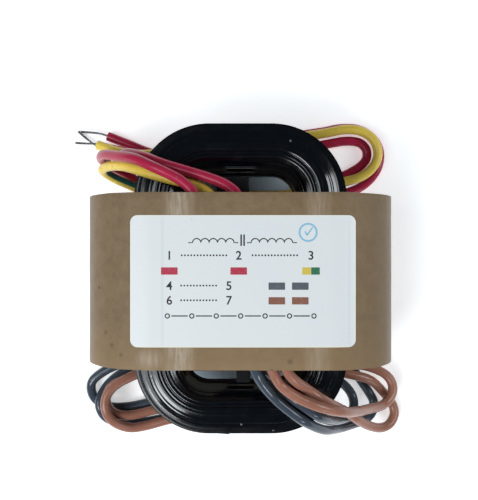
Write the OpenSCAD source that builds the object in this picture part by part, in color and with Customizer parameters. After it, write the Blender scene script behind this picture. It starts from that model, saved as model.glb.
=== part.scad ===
// R-core transformer: two round coils on a wound strip core of round section,
// a kraft board band around both coils, and seven hook-up leads folded round the yokes.
// It lies on the flat back of the band. X is across the two coils, Y runs along
// their axes and Z rises from the table to the labelled front.

/* [Core] */
// Overall length of the core, along the coil axes
core_length = 70; // [66:0.5:80]
// Overall width of the core, across both legs
core_width = 48; // [44.5:0.5:56]
// Diameter of the circle that the stepped section fits in
section_d = 12.2; // [10:0.1:13]
// Width of the strip at the start and the end of its winding
strip_end_w = 2.2; // [1:0.1:4]
// Radius of the core's outer corners
corner_r = 17; // [12:0.1:17.8]
// Steps of strip width across the section
strip_steps = 20; // [8:2:28]

/* [Bobbins] */
// Length of a bobbin over its flanges
bobbin_length = 34; // [26:0.5:34]
// Radial running clearance between the core leg and the bobbin bore
bobbin_clear = 0.2; // [0.1:0.05:0.5]
// Wall of the bobbin tube
bobbin_wall = 1; // [0.6:0.1:1.4]
// Thickness of a flange
flange_t = 1.2; // [0.8:0.1:2]
// Height of the flange above the finished coil, at the tooth roots
flange_rise = 0.2; // [0.1:0.1:1]
// Teeth round a flange, which the winding machine drives
tooth_count = 60; // [36:2:72]
// Depth of a tooth
tooth_depth = 0.6; // [0.3:0.1:0.8]

/* [Windings] */
// Thickness of the primary winding
primary_build = 2.9; // [2:0.1:3]
// Thickness of each film layer between the windings
film_t = 0.2; // [0.1:0.05:0.3]
// Thickness of the copper screen foil
screen_t = 0.1; // [0.05:0.05:0.2]
// Angle left open in the screen foil, so that it is no shorted turn
screen_open_angle = 12; // [6:1:30]
// Thickness of the secondary winding
secondary_build = 2.8; // [2:0.1:3]
// Thickness of the finishing tape over a coil
tape_t = 0.3; // [0.1:0.05:0.5]
// Radial gap between one layer and the next
layer_gap = 0.05; // [0.02:0.01:0.1]
// Gap between a winding's end and the flange
winding_margin = 0.2; // [0.1:0.1:1]

/* [Band] */
// Width of the board band, along the coil axes
band_width = 36.6; // [34.2:0.1:40]
// Thickness of the board
band_t = 0.8; // [0.4:0.1:1.2]
// Gap between the flange teeth and the band
band_clear = 0.2; // [0.1:0.1:0.5]
// Thickness of the glued lap at the band's outer end
lap_t = 0.3; // [0.2:0.1:0.5]
// Angle of the lap on the band's round end
lap_angle = 30; // [15:1:40]

/* [Label] */
// Width of the label as seen from the front
label_w = 46.4; // [30:0.1:48]
// Height of the label
label_h = 27.1; // [16:0.1:30]
// Shift of the label to the right of the middle
label_shift = 0.5; // [-1:0.1:1]
// Corner radius of the label
label_r = 1.5; // [0.5:0.1:3]
// Thickness of the label
label_t = 0.1; // [0.05:0.05:0.2]

/* [Leads] */
// Outside diameter of a lead's insulation
lead_d = 2.3; // [1.8:0.1:2.3]
// Diameter of the tinned conductor at a stripped end
conductor_d = 0.6; // [0.4:0.1:1]
// Distance of the splice wraps' outer faces from the middle
splice_face_y = 14; // [14:0.5:14]
// Length of the tape wrap over the soldered joints
splice_length = 10; // [6:0.5:12]
// Gap round a splice wrap
splice_clear = 0.1; // [0.1:0.05:0.3]
// Length of the loose tape end that hangs out of a splice wrap
tape_end_length = 8; // [4:0.5:8.5]
// Thickness of that loose tape end
tape_end_t = 0.6; // [0.4:0.1:0.8]

/* [Hidden] */
$fn = 96;

// Core frame: half the strip's build-up, then the leg and yoke axes
section_r = section_d / 2;
half_build = sqrt(section_r * section_r - strip_end_w * strip_end_w / 4);
leg_x = core_width / 2 - half_build;
yoke_y = core_length / 2 - half_build;
bend_r = corner_r - half_build;
leg_straight = 2 * (yoke_y - bend_r);
yoke_straight = 2 * (leg_x - bend_r);
step_t = 2 * half_build / strip_steps;
corner_sides = [[1, 1], [-1, 1], [-1, -1], [1, -1]];

// Radii of a coil, from the bore outwards
bore_r = section_r + bobbin_clear;
tube_r = bore_r + bobbin_wall;
primary_r = tube_r + layer_gap + primary_build;
primary_film_r = primary_r + layer_gap + film_t;
screen_r = primary_film_r + layer_gap + screen_t;
screen_film_r = screen_r + layer_gap + film_t;
secondary_r = screen_film_r + layer_gap + secondary_build;
coil_r = secondary_r + layer_gap + tape_t;
flange_root_r = coil_r + flange_rise;
flange_r = flange_root_r + tooth_depth;
winding_length = bobbin_length - 2 * flange_t - 2 * winding_margin;

// Band round both coils, whose back is the face that rests on the table
band_inner_r = flange_r + band_clear;
band_r = band_inner_r + band_t;
mid_z = band_r;
glue_gap = 0.02;
label_r_out = band_r + glue_gap + label_t;

// Splice wraps: depth below the band and reach to each side of the middle
splice_depth = 5.4;
input_splice_x = [-11, 1.4];
output_splice_x = [0.8, 11];

// Loose tape ends: reach to each side of the middle, and drop below the wrap
input_tape_end_x = [-5.2, 2];
output_tape_end_x = [-1, 2.2];
tape_end_drop = 0.2;

enamel_colour = [0.62, 0.30, 0.16];
film_colour = [0.90, 0.84, 0.62];
foil_colour = [0.80, 0.47, 0.30];
nylon_colour = [0.86, 0.83, 0.74];
tape_colour = [0.82, 0.66, 0.24];
cloth_colour = [0.07, 0.07, 0.08];
kraft_colour = [0.56, 0.47, 0.36];
varnish_colour = [0.05, 0.06, 0.08];
paper_colour = [0.89, 0.91, 0.93];
red_colour = [0.72, 0.15, 0.26];
screen_lead_colour = [0.88, 0.76, 0.26];
grey_colour = [0.24, 0.27, 0.31];
brown_colour = [0.58, 0.36, 0.28];
tinned_colour = [0.66, 0.67, 0.69];

// Lead routes, chosen by hand: out of the splice wrap, over the yoke's shoulder,
// under the yoke along the table, and round a loop to the stripped end.
red_route_a = [
    [-0.4, 14, 29.3], [-0.4, 16.5, 29.3], [-1.2, 18.6, 28.9], [-3.6, 20.4, 27.7], [-7.2, 21.9, 26.4],
    [-11.5, 23.3, 25.2], [-16.5, 24.9, 24], [-21.5, 26.9, 21.6], [-25.8, 28.2, 17.2], [-28.2, 27.9, 11.6],
    [-28.3, 27.1, 6.6], [-25.4, 26.7, 2.7], [-20, 26.9, 1.4], [-12, 26.9, 1.3], [0, 27.1, 1.3],
    [10, 26.7, 1.3], [16.5, 24.9, 1.3], [21, 23.9, 1.3], [25, 24.6, 1.3], [27.8, 25.9, 1.3],
    [29.9, 27.3, 1.3], [31.2, 29, 1.3], [31.2, 31.1, 1.3], [29.9, 32.7, 1.3], [27.9, 33.3, 1.3],
    [25.4, 33.3, 1.3], [22.4, 32.8, 1.3], [12, 31, 1.3], [0, 30.4, 1.3], [-10, 29.8, 1.3], [-17, 29.5, 1.3],
    [-22.4, 30.5, 1.3], [-27.5, 32.5, 1.3], [-32.8, 34.6, 1.3]
];
red_route_b = [
    [-9.3, 14, 29.7], [-9.3, 16.5, 29.7], [-10.4, 19, 29.5], [-12.6, 21, 28.7], [-15.6, 22.7, 27.4],
    [-19, 24.3, 26.1], [-23, 26.2, 23.8], [-27.6, 27.3, 19.6], [-31.4, 28.2, 14.6], [-32.8, 27.8, 9],
    [-31, 26.6, 4.6], [-27.6, 24.8, 2], [-24, 22.4, 1.3], [-19, 20.2, 1.3], [-10, 19.7, 1.3],
    [2, 19.7, 1.3], [14, 19.7, 1.3], [22.5, 19.8, 1.3], [28.6, 21.4, 1.3], [32.2, 24, 1.3],
    [34.2, 27.4, 1.3], [34.4, 31, 1.3], [32.6, 34.2, 1.3], [29.2, 36.2, 1.3], [25, 36.5, 1.3],
    [20, 35.6, 1.3], [10, 34.2, 1.3], [1, 33.4, 2.2], [-8, 32, 3.8], [-16, 30.2, 3.9], [-22, 29.4, 3.9],
    [-27, 30.1, 3.8], [-30.4, 30.9, 2.8], [-34, 31.7, 1.6]
];
screen_route = [
    [-5.6, 14, 27.2], [-5.6, 16.4, 27.2], [-6.8, 18.5, 26.4], [-9.2, 20, 25.3], [-12.4, 21, 24.4],
    [-16, 21.9, 24], [-20.8, 23.4, 22.3], [-25.8, 25.1, 18.5], [-30, 25.7, 14], [-32.5, 25.3, 9.4],
    [-31, 24, 5.6], [-27.4, 22.4, 4.1], [-23.4, 20.9, 3.8], [-18, 20, 3.8], [-10, 19.7, 3.8],
    [2, 19.7, 3.8], [12, 20, 3.8], [20, 22, 3.8], [26, 23.2, 3.8], [30, 24.6, 3.8], [32.7, 27.1, 3.8],
    [33.6, 30.2, 3.8], [32.4, 33.4, 3.8], [29.4, 35.4, 3.8], [25.4, 35.8, 3.8], [20, 34.8, 3.8],
    [10, 33.4, 4.2], [1, 32.6, 5.2], [-8, 31.6, 6.3], [-16, 30, 6.4], [-22, 29.4, 6.4], [-27, 29.6, 6.2],
    [-31, 30.6, 5.3], [-34.7, 32, 4.1]
];
grey_route_a = [
    [2.6, -14, 29.4], [2.6, -16.5, 29.4], [3.2, -19.2, 28.8], [4.8, -22.2, 27], [7.2, -25.2, 25.2],
    [10.2, -28, 24.2], [14.2, -31.1, 22.4], [18.8, -34.2, 16.7], [23.2, -35.8, 9.2], [27.8, -36, 3.8],
    [30.6, -35.5, 2.2], [32.6, -33.7, 1.5], [33, -31.2, 1.3], [31.7, -28.6, 1.3], [29.6, -25.6, 1.3],
    [27.2, -22.2, 1.3], [23.6, -20.2, 1.3], [20, -19.6, 1.3], [16, -19.6, 1.3], [4, -19.6, 1.3],
    [-8, -19.6, 1.3], [-18, -19.8, 1.3], [-24.6, -21.4, 1.3], [-29.4, -24, 1.4], [-33, -27.2, 2.3],
    [-34.4, -31, 3.9], [-33, -34.6, 3], [-29, -36.4, 1.5], [-24, -36.2, 1.3], [-16, -34.8, 1.3],
    [-8, -34.4, 1.3]
];
grey_route_b = [
    [3.8, -14, 26.9], [3.8, -16.5, 26.9], [4.8, -19.2, 26.2], [7, -21.8, 24.6], [9.8, -24.6, 23.6],
    [13.3, -27.1, 23.8], [17.3, -30.1, 21.9], [21.1, -32.4, 15.3], [23.9, -33.4, 10.2], [25.9, -33.2, 7.5],
    [27.2, -32.3, 5.5], [27.6, -30.4, 4.1], [26.8, -28.2, 3.4], [24.9, -26.3, 2.6], [22, -25.2, 1.7],
    [18, -25.4, 1.3], [13, -26.9, 1.3], [8, -28, 1.3], [-4, -28, 1.3], [-14, -29.4, 1.3], [-22, -31.2, 1.3],
    [-28, -32.4, 1.3], [-33, -32.2, 1.4], [-36.2, -29.8, 1.8], [-36.4, -26, 3], [-33.2, -23.2, 3.5],
    [-28.6, -21, 3.7]
];
brown_route_a = [
    [6.1, -14, 29.4], [6.1, -16.5, 29.4], [6.8, -19.2, 28.9], [8.4, -22, 27.6], [10.8, -24, 27.4],
    [13.8, -25.7, 26.9], [17.6, -27.2, 26.1], [22.2, -28.7, 23.2], [26.2, -30, 17.2], [30.2, -30.8, 10.8],
    [33.9, -31, 6.6], [36.4, -29.3, 4.9], [37.1, -26.8, 4.2], [35.9, -24.4, 3.9], [33, -22.7, 3.9],
    [28.6, -21.6, 4], [23.6, -22.4, 3.1], [17.6, -22.2, 1.4], [8, -22, 1.3], [-4, -22, 1.3],
    [-14, -22, 1.3], [-20.6, -22.7, 1.7], [-25, -23.9, 3], [-28.3, -25.3, 4.3], [-30.7, -26.2, 5],
    [-32, -27.8, 5.4], [-32.5, -29.8, 5.5], [-31.9, -31.8, 5.2], [-30.4, -33.3, 4.7], [-28.1, -33.9, 4.2],
    [-25, -33.7, 3.6], [-20.5, -32.7, 2.9], [-14, -32.2, 1.6], [-6, -31.8, 1.3]
];
brown_route_b = [
    [9, -14, 29.6], [9, -16.5, 29.6], [9.8, -19, 29.1], [11.6, -21.2, 27.8], [14.4, -23.5, 25.3],
    [17.8, -26, 23.8], [21.3, -28.4, 20], [24.2, -30.8, 13.6], [27.2, -33.2, 10.5], [30.6, -35.6, 7.1],
    [34, -36.9, 4.3], [36.6, -36.4, 2.6], [38, -34.3, 1.7], [37.6, -31.8, 1.5], [35.2, -28.6, 2.2],
    [31.8, -25.4, 4], [27.4, -23.9, 5.2], [22.4, -22.9, 5.5], [16, -22.1, 3.8], [6, -22, 3.8],
    [-6, -22, 3.8], [-16, -22.1, 3.8], [-22.4, -23, 4.7], [-25.2, -23.7, 5.9], [-27.8, -24.7, 7],
    [-30.2, -26.2, 7.6], [-31.8, -28.2, 7.9], [-32.3, -30.6, 7.9], [-31.7, -33.2, 7.4], [-29.8, -35.4, 6.2],
    [-26.8, -36.8, 4.6], [-23, -36.5, 3.8], [-17, -34.9, 3.8], [-10, -33.6, 3.8]
];

// Points that a stripped end passes after it leaves the insulation
red_tail_points_a = [[-35.8, 35.4, 1.3], [-39.4, 35.6, 1.7]];
red_tail_points_b = [[-36.4, 32.7, 1], [-38.6, 34.4, 0.8], [-40.3, 35.9, 0.6]];
screen_tail_points = [[-38, 32.5, 3.2], [-40.6, 32.8, 2.2]];
hidden_tail_length = 6;

// Swept round tube: a smooth curve through the points, with rings that keep their turn
rings_per_span = 2;
tube_sides = 8;

function at_end(p, i) =
    i < 0 ? 2 * p[0] - p[1] : i >= len(p) ? 2 * p[len(p) - 1] - p[len(p) - 2] : p[i];

function span_point(a, b, c, d, t) =
    (2 * b + (c - a) * t + (2 * a - 5 * b + 4 * c - d) * t * t + (3 * b - a - 3 * c + d) * t * t * t) / 2;

function span_slope(a, b, c, d, t) =
    ((c - a) + 2 * (2 * a - 5 * b + 4 * c - d) * t + 3 * (3 * b - a - 3 * c + d) * t * t) / 2;

function unit(v) = v / norm(v);

function along(p, k, slope) =
    let (
        i = min(floor(k / rings_per_span), len(p) - 2),
        t = k / rings_per_span - i,
        a = at_end(p, i - 1),
        b = at_end(p, i),
        c = at_end(p, i + 1),
        d = at_end(p, i + 2)
    )
    slope ? unit(span_slope(a, b, c, d, t)) : span_point(a, b, c, d, t);

function across(v, t) = unit(v - (v * t) * t);

function first_across(t) = across(abs(t[2]) < 0.9 ? [0, 0, 1] : [1, 0, 0], t);

function last_direction(p) = unit(p[len(p) - 1] - p[len(p) - 2]);

module swept_tube(p, d) {
    last = (len(p) - 1) * rings_per_span;
    centres = [for (k = [0 : last]) along(p, k, false)];
    slopes = [for (k = [0 : last]) along(p, k, true)];
    normals = [
        for (k = 0, n = first_across(slopes[0]); k <= last; k = k + 1, n = across(n, slopes[min(k, last)])) n
    ];
    points = [
        for (k = [0 : last], s = [0 : tube_sides - 1])
            let (a = 360 * s / tube_sides, n = normals[k])
            centres[k] + d / 2 * (cos(a) * n + sin(a) * cross(slopes[k], n))
    ];
    sides = [
        for (k = [0 : last - 1], s = [0 : tube_sides - 1], half = [0, 1])
            let (
                a = k * tube_sides + s,
                b = k * tube_sides + (s + 1) % tube_sides
            )
            half == 0 ? [a, a + tube_sides, b + tube_sides] : [a, b + tube_sides, b]
    ];
    start_cap = [for (s = [0 : tube_sides - 1]) s];
    end_cap = [for (s = [tube_sides - 1 : -1 : 0]) last * tube_sides + s];
    polyhedron(points = points, faces = concat(sides, [start_cap, end_cap]));
}

// Half width of the strip at a height across the section, kept inside the circle
function strip_half_w(outer) = sqrt(section_r * section_r - outer * outer);

module stepped_section() {
    edges = [for (i = [0 : strip_steps - 1]) [-half_build + i * step_t, -half_build + (i + 1) * step_t]];
    widths = [for (e = edges) strip_half_w(max(abs(e[0]), abs(e[1])))];
    rising = [for (i = [0 : strip_steps - 1], j = [0, 1]) [edges[i][j], widths[i]]];
    falling = [for (k = [len(rising) - 1 : -1 : 0]) [rising[k][0], -rising[k][1]]];
    polygon(concat(rising, falling));
}

module core() {
    color(varnish_colour)
    translate([0, 0, mid_z]) {
        for (corner = [0 : 3]) {
            side = corner_sides[corner];
            translate([side[0] * yoke_straight / 2, side[1] * leg_straight / 2, 0])
            rotate(90 * corner)
            rotate_extrude(angle = 90)
            translate([bend_r, 0])
            stepped_section();
        }
        for (side = [-1, 1]) {
            translate([side * leg_x, leg_straight / 2, 0])
            rotate([90, 0, 0])
            linear_extrude(leg_straight)
            stepped_section();

            translate([-yoke_straight / 2, side * yoke_y, 0])
            rotate([90, 0, 90])
            linear_extrude(yoke_straight)
            stepped_section();
        }
    }
}

// Places a piece that is built round +Z on the axis of one leg
module on_leg(side) {
    translate([side * leg_x, 0, mid_z])
    rotate([90, 0, 0])
    children();
}

module toothed_disc() {
    pitch = 360 / tooth_count;
    profile = [[0, flange_root_r], [0.2, flange_r], [0.5, flange_r], [0.7, flange_root_r]];
    polygon([
        for (i = [0 : tooth_count - 1], q = profile)
            let (a = (i + q[0]) * pitch)
            q[1] * [cos(a), sin(a)]
    ]);
}

module bobbin_half(side, front) {
    color(nylon_colour)
    on_leg(side)
    intersection() {
        difference() {
            union() {
                cylinder(h = bobbin_length, r = tube_r, center = true);
                for (end = [-1, 1])
                    translate([0, 0, end * (bobbin_length - flange_t) / 2])
                    linear_extrude(flange_t, center = true)
                    toothed_disc();
            }
            cylinder(h = bobbin_length + flange_t, r = bore_r, center = true);
        }
        translate([0, front * flange_r, 0])
        cube([2 * flange_r + flange_t, 2 * flange_r, bobbin_length + flange_t], center = true);
    }
}

module coil_layer(side, inner, outer, length, open_angle = 0) {
    on_leg(side)
    rotate(90 + open_angle / 2)
    rotate_extrude(angle = 360 - open_angle)
    translate([inner, -length / 2])
    square([outer - inner, length]);
}

module primary_winding(side) {
    color(enamel_colour)
    coil_layer(side, tube_r + layer_gap, primary_r, winding_length);
}

module primary_film(side) {
    color(film_colour)
    coil_layer(side, primary_r + layer_gap, primary_film_r, winding_length);
}

module screen_foil(side) {
    color(foil_colour)
    coil_layer(side, primary_film_r + layer_gap, screen_r, winding_length, screen_open_angle);
}

module screen_film(side) {
    color(film_colour)
    coil_layer(side, screen_r + layer_gap, screen_film_r, winding_length);
}

module secondary_winding(side) {
    color(enamel_colour)
    coil_layer(side, screen_film_r + layer_gap, secondary_r, winding_length);
}

module coil_tape(side) {
    color(tape_colour)
    coil_layer(side, secondary_r + layer_gap, coil_r, winding_length);
}

// Cloth tape over the soldered joints, in the hollow between the two coils and the band's front,
// with its last turn left hanging out over the window
module splice_wrap(reach, tape_end, end) {
    top = mid_z + band_inner_r - splice_clear;
    color(cloth_colour)
    translate([0, end * splice_face_y, 0])
    rotate([90, 0, 0])
    mirror([0, 0, end < 0 ? 1 : 0]) {
        linear_extrude(splice_length)
        difference() {
            translate([reach[0], top - splice_depth])
            square([reach[1] - reach[0], splice_depth]);
            for (side = [-1, 1])
                translate([side * leg_x, mid_z])
                circle(r = coil_r + splice_clear);
        }
        translate([tape_end[0], top - splice_depth - tape_end_drop, -tape_end_length])
        cube([tape_end[1] - tape_end[0], tape_end_t, tape_end_length + splice_length]);
    }
}

module stadium(r) {
    for (side = [-1, 1])
        translate([side * leg_x, 0])
        circle(r = r);
    square([2 * leg_x, 2 * r], center = true);
}

// Places a section drawn across the band, with its middle on the band's middle
module across_band(width) {
    translate([0, 0, mid_z])
    rotate([90, 0, 0])
    linear_extrude(width, center = true)
    children();
}

module board_band() {
    color(kraft_colour) {
        across_band(band_width)
        difference() {
            stadium(band_r);
            stadium(band_inner_r);
        }
        on_leg(1)
        rotate(-90 + lap_angle / 2)
        rotate_extrude(angle = lap_angle)
        translate([band_r - band_t / 2, -band_width / 2])
        square([band_t / 2 + lap_t, band_width]);
    }
}

module label() {
    color(paper_colour)
    intersection() {
        across_band(label_h)
        difference() {
            stadium(label_r_out);
            stadium(band_r + glue_gap);
        }
        translate([label_shift, 0, mid_z])
        linear_extrude(label_r_out + label_t)
        rounded_rectangle(label_w, label_h, label_r);
    }
}

module rounded_rectangle(w, h, r) {
    square([w - 2 * r, h], center = true);
    square([w, h - 2 * r], center = true);
    for (sx = [-1, 1], sy = [-1, 1])
        translate([sx * (w / 2 - r), sy * (h / 2 - r)])
        circle(r = r);
}

module lead(route, colour) {
    color(colour)
    swept_tube(route, lead_d);
}

// Stripped end: straight out of the insulation, then through the points given
module tail(route, points) {
    start = route[len(route) - 1];
    ahead = last_direction(route);
    color(tinned_colour)
    swept_tube(concat([start, start + ahead], points), conductor_d);
}

module hidden_tail(route) {
    start = route[len(route) - 1];
    ahead = last_direction(route);
    tail(route, [start + ahead * hidden_tail_length]);
}

core();
bobbin_half(-1, 1);  // bobbin_left_front
bobbin_half(-1, -1);  // bobbin_left_rear
bobbin_half(1, 1);  // bobbin_right_front
bobbin_half(1, -1);  // bobbin_right_rear
primary_winding(-1);  // primary_winding_left
primary_winding(1);  // primary_winding_right
primary_film(-1);  // primary_film_left
primary_film(1);  // primary_film_right
screen_foil(-1);  // screen_foil_left
screen_foil(1);  // screen_foil_right
screen_film(-1);  // screen_film_left
screen_film(1);  // screen_film_right
secondary_winding(-1);  // secondary_winding_left
secondary_winding(1);  // secondary_winding_right
coil_tape(-1);  // coil_tape_left
coil_tape(1);  // coil_tape_right
splice_wrap(input_splice_x, input_tape_end_x, 1);  // input_splice_wrap
splice_wrap(output_splice_x, output_tape_end_x, -1);  // output_splice_wrap
board_band();
label();
lead(red_route_a, red_colour);  // red_lead_a
lead(red_route_b, red_colour);  // red_lead_b
lead(screen_route, screen_lead_colour);  // screen_lead
lead(grey_route_a, grey_colour);  // grey_lead_a
lead(grey_route_b, grey_colour);  // grey_lead_b
lead(brown_route_a, brown_colour);  // brown_lead_a
lead(brown_route_b, brown_colour);  // brown_lead_b
tail(red_route_a, red_tail_points_a);  // red_tail_a
tail(red_route_b, red_tail_points_b);  // red_tail_b
tail(screen_route, screen_tail_points);  // screen_tail
hidden_tail(grey_route_a);  // grey_tail_a
hidden_tail(grey_route_b);  // grey_tail_b
hidden_tail(brown_route_a);  // brown_tail_a
hidden_tail(brown_route_b);  // brown_tail_b
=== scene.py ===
import math
import random

import bpy
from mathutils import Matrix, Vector, noise
from mathutils.kdtree import KDTree


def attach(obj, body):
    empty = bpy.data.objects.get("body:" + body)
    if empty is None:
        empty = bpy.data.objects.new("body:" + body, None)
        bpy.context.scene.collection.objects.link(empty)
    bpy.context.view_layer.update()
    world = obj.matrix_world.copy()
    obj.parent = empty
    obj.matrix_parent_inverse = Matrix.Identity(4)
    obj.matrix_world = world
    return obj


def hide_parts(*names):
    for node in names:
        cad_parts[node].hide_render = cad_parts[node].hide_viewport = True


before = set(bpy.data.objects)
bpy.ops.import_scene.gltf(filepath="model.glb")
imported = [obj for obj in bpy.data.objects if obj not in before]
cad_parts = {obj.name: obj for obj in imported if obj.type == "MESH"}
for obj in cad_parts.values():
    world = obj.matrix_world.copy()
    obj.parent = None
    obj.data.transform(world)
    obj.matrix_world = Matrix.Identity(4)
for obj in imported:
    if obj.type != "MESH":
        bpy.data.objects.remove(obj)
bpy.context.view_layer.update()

# Core. Silicon steel strip of changing width, wound flat on itself into a closed loop of
# round section, then dipped in black varnish. The strip's edges show as fine concentric
# ridges, and its outer end is tacked down on the lower yoke.
MM = 0.001
MID_HEIGHT = 15.9 * MM
LEG_X = 18 * MM
YOKE_Y = 29 * MM
BEND_RADIUS = 11 * MM
HALF_BUILD = 6 * MM
SECTION_RADIUS = 6.1 * MM
# The strip's layers, how uneven they are, and the grooves between their edges
STRIP_LAYERS = 28
STRIP_T_SPREAD = 0.45
RIM_THINNING = 0.6
EDGE_SPREAD = 0.05 * MM
GROOVE_SHALLOW = 0.03 * MM
GROOVE_DEEP = 0.12 * MM
DEEP_SHARE = 0.42
# Where along the build the varnish fills the steps, and how it rounds the edges there
FILL_OUTER = 4.5 * MM
FILL_FADE = 1.5 * MM
ROUND_SHARE = 0.26
ROUND_FROM = 0.98
LEG_STRAIGHT = 2 * (YOKE_Y - BEND_RADIUS)
YOKE_STRAIGHT = 2 * (LEG_X - BEND_RADIUS)
CORNER_STEPS = 28
CORE_SHARP_DEG = 65
MERGE_WITHIN = 0.0005 * MM


def start_piece():
    """Leaves nothing selected, so that the next primitive is shaped alone."""
    bpy.ops.object.select_all(action="DESELECT")


def select_in_edit(piece, kind, test):
    """Enters edit mode with only the vertices, edges or faces selected that pass the test."""
    mesh = piece.data
    for group in (mesh.vertices, mesh.edges, mesh.polygons):
        group.foreach_set("select", [False] * len(group))
    chosen = {"VERT": mesh.vertices, "EDGE": mesh.edges, "FACE": mesh.polygons}[kind]
    for element in chosen:
        element.select = test(element)
    bpy.context.tool_settings.mesh_select_mode = [kind == k for k in ("VERT", "EDGE", "FACE")]
    bpy.ops.object.mode_set(mode="EDIT")


def leave_edit():
    bpy.ops.object.mode_set(mode="OBJECT")


def close_up_mesh():
    """Merges doubled points of the active piece, drops stray bits and turns its faces outwards."""
    bpy.ops.object.mode_set(mode="EDIT")
    bpy.ops.mesh.select_all(action="SELECT")
    bpy.ops.mesh.remove_doubles(threshold=MERGE_WITHIN)
    bpy.ops.mesh.delete_loose()
    bpy.ops.mesh.select_all(action="SELECT")
    bpy.ops.mesh.dissolve_degenerate(threshold=MERGE_WITHIN)
    bpy.ops.mesh.normals_make_consistent(inside=False)
    leave_edit()


def take_up(piece):
    """Selects the piece and makes it the active one."""
    piece.select_set(True)
    bpy.context.view_layer.objects.active = piece


def smooth_by_angle(piece, degrees):
    """Smooth shading that keeps edges sharper than the angle."""
    start_piece()
    take_up(piece)
    bpy.ops.object.shade_smooth_by_angle(angle=math.radians(degrees))


def clamped(share):
    return min(max(share, 0), 1)


strip_rng = random.Random(11)
strip_t = []
for layer in range(STRIP_LAYERS):
    from_crown = abs(2 * layer / (STRIP_LAYERS - 1) - 1)
    mean_t = 1 - RIM_THINNING * from_crown**2
    strip_t.append(mean_t * (1 + STRIP_T_SPREAD * strip_rng.uniform(-1, 1)))
strip_edges = [-HALF_BUILD]
for thickness in strip_t:
    strip_edges.append(strip_edges[-1] + thickness * 2 * HALF_BUILD / sum(strip_t))
# Points across one strip's edge: along the build, and half the strip's width there. The varnish
# fills the steps between strips on the crown, and leaves them square towards the rims.
section = []
groove = GROOVE_DEEP
for inner, outer in zip(strip_edges, strip_edges[1:]):
    next_groove = GROOVE_SHALLOW
    if outer < FILL_OUTER and strip_rng.random() < DEEP_SHARE:
        next_groove = GROOVE_DEEP
    flat = math.sqrt(SECTION_RADIUS**2 - max(inner**2, outer**2))
    filled = clamped((FILL_OUTER - outer) / FILL_FADE) * clamped((inner + HALF_BUILD) / FILL_FADE)
    inner_depth, outer_depth = (EDGE_SPREAD * strip_rng.random() for _ in range(2))
    edge = [(inner, inner_depth), (outer, outer_depth)]
    if filled > ROUND_FROM:
        rounding = ROUND_SHARE * (outer - inner)
        edge = [
            (inner, groove),
            (inner + rounding, inner_depth),
            (outer - rounding, outer_depth),
            (outer, next_groove),
        ]
    for build, depth in edge:
        crown = math.sqrt(SECTION_RADIUS**2 - build**2)
        section.append((build, flat + filled * (crown - flat) - depth))
    groove = next_groove

start_piece()
bpy.ops.mesh.primitive_grid_add(x_subdivisions=len(section) - 1, y_subdivisions=1, size=2)
wound_core = bpy.context.object
wound_core.name = "wound_core"
columns = [round((vertex.co.x + 1) / 2 * (len(section) - 1)) for vertex in wound_core.data.vertices]
for vertex, column in zip(wound_core.data.vertices, columns):
    along_build, half_width = section[column]
    half_width = math.copysign(half_width, vertex.co.y)
    vertex.co = (LEG_X + along_build, -LEG_STRAIGHT / 2, MID_HEIGHT + half_width)


def crosses_section(edge):
    """True for the lines across the section that the sweep doesn't need: all but first and last."""
    a, b = (columns[i] for i in edge.vertices)
    return a == b and 0 < a < len(section) - 1


select_in_edit(wound_core, "EDGE", crosses_section)
bpy.ops.mesh.delete(type="EDGE_FACE")
bpy.ops.mesh.select_all(action="SELECT")
turn_x, turn_y = YOKE_STRAIGHT / 2, LEG_STRAIGHT / 2
sweep = [
    ((0, LEG_STRAIGHT, 0), (turn_x, turn_y, MID_HEIGHT)),
    ((-YOKE_STRAIGHT, 0, 0), (-turn_x, turn_y, MID_HEIGHT)),
    ((0, -LEG_STRAIGHT, 0), (-turn_x, -turn_y, MID_HEIGHT)),
    ((YOKE_STRAIGHT, 0, 0), (turn_x, -turn_y, MID_HEIGHT)),
]
for straight, turn in sweep:
    bpy.ops.mesh.extrude_edges_move(TRANSFORM_OT_translate={"value": straight})
    bpy.ops.mesh.spin(steps=CORNER_STEPS, angle=math.pi / 2, center=turn, axis=(0, 0, -1))
close_up_mesh()

# Outer end of the strip: a short tongue that stands a little off the lower yoke
STRIP_END_X = -4 * MM
STRIP_END_LENGTH = 3 * MM
STRIP_END_T = 0.28 * MM
STRIP_END_WIDTH = 2 * MM
STRIP_END_SINK = 0.05 * MM
STRIP_END_TAPER = 0.8
STRIP_END_EASE = 0.06 * MM
start_piece()
strip_end_y = -YOKE_Y - HALF_BUILD - STRIP_END_T / 2 + STRIP_END_SINK
bpy.ops.mesh.primitive_cube_add(
    size=1,
    location=(STRIP_END_X, strip_end_y, MID_HEIGHT),
    scale=(STRIP_END_LENGTH, STRIP_END_T, STRIP_END_WIDTH),
)
bpy.ops.object.transform_apply()
strip_end = bpy.context.object
select_in_edit(strip_end, "VERT", lambda v: v.co.x < STRIP_END_X and v.co.y < strip_end_y)
bpy.ops.transform.translate(value=(0, STRIP_END_T * STRIP_END_TAPER, 0))
bpy.ops.mesh.select_all(action="SELECT")
bpy.context.tool_settings.mesh_select_mode = (False, True, False)
bpy.ops.mesh.bevel(offset=STRIP_END_EASE, segments=2, affect="EDGES")
leave_edit()
take_up(wound_core)
bpy.ops.object.join()
smooth_by_angle(wound_core, CORE_SHARP_DEG)


def shader_node(tree, kind, feeds=None, **options):
    """Adds one shader node. A feed is a plain value, or the output of another node."""
    made = tree.nodes.new("ShaderNode" + kind)
    for option, value in options.items():
        setattr(made, option, value)
    for socket, value in (feeds or {}).items():
        if isinstance(value, bpy.types.NodeSocket):
            tree.links.new(value, made.inputs[socket])
        else:
            made.inputs[socket].default_value = value
    return made


def maths(tree, operation, a, b=0.0):
    return shader_node(tree, "Math", {0: a, 1: b}, operation=operation).outputs[0]


def times(tree, a, b):
    return maths(tree, "MULTIPLY", a, b)


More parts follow.
